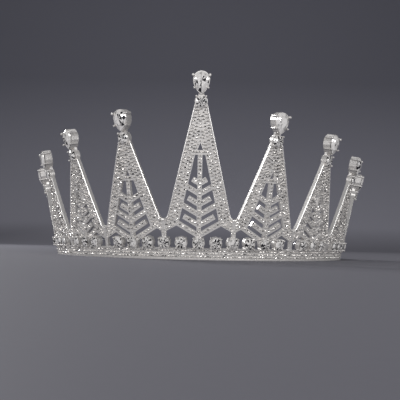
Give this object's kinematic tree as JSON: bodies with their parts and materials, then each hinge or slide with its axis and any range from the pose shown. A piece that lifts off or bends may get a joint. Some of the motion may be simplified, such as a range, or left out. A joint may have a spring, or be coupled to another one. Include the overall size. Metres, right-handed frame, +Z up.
{
  "type": "rhinestone crown",
  "caption": "Open-backed half crown of pierced pointed peaks set with pear and round crystals, on a narrow band with a wire loop at each end for grips or ribbon.",
  "frame": {"origin": "centre of the bounding box at the foot of the band, on the surface that the crown rests on", "axes": "+Z up from the band to the points of the peaks, front of the crown towards -Y, +X to the right of someone who looks at the front"},
  "size_m": [0.158, 0.1259, 0.0672],
  "materials": {
    "plated_metal": "bright silver-coloured plating on cast metal",
    "crystal": "clear cut crystal",
    "wire": "bright silver-coloured wire"
  },
  "bodies": {
    "root": {"frame": "plated_metal", "pear_stone_left_4": "crystal", "pear_stone_left_3": "crystal", "pear_stone_left_2": "crystal", "pear_stone_left_1": "crystal", "pear_stone_middle": "crystal", "pear_stone_right_1": "crystal", "pear_stone_right_2": "crystal", "pear_stone_right_3": "crystal", "pear_stone_right_4": "crystal", "tip_stone_left_4": "crystal", "tip_stone_left_3": "crystal", "tip_stone_left_2": "crystal", "tip_stone_left_1": "crystal", "tip_stone_middle": "crystal", "tip_stone_right_1": "crystal", "tip_stone_right_2": "crystal", "tip_stone_right_3": "crystal", "tip_stone_right_4": "crystal", "row_stone_left_17": "crystal", "row_stone_left_16": "crystal", "row_stone_left_15": "crystal", "row_stone_left_13": "crystal", "row_stone_left_12": "crystal", "row_stone_left_11": "crystal", "row_stone_left_9": "crystal", "row_stone_left_8": "crystal", "row_stone_left_7": "crystal", "row_stone_left_5": "crystal", "row_stone_left_4": "crystal", "row_stone_left_3": "crystal", "row_stone_left_2": "crystal", "row_stone_left_1": "crystal", "row_stone_middle": "crystal", "row_stone_right_1": "crystal", "row_stone_right_2": "crystal", "row_stone_right_3": "crystal", "row_stone_right_4": "crystal", "row_stone_right_5": "crystal", "row_stone_right_7": "crystal", "row_stone_right_8": "crystal", "row_stone_right_9": "crystal", "row_stone_right_11": "crystal", "row_stone_right_12": "crystal", "row_stone_right_13": "crystal", "row_stone_right_15": "crystal", "row_stone_right_16": "crystal", "row_stone_right_17": "crystal", "end_wire_left": "wire", "winding_left": "wire", "end_wire_right": "wire", "winding_right": "wire"}
  },
  "joints": []
}
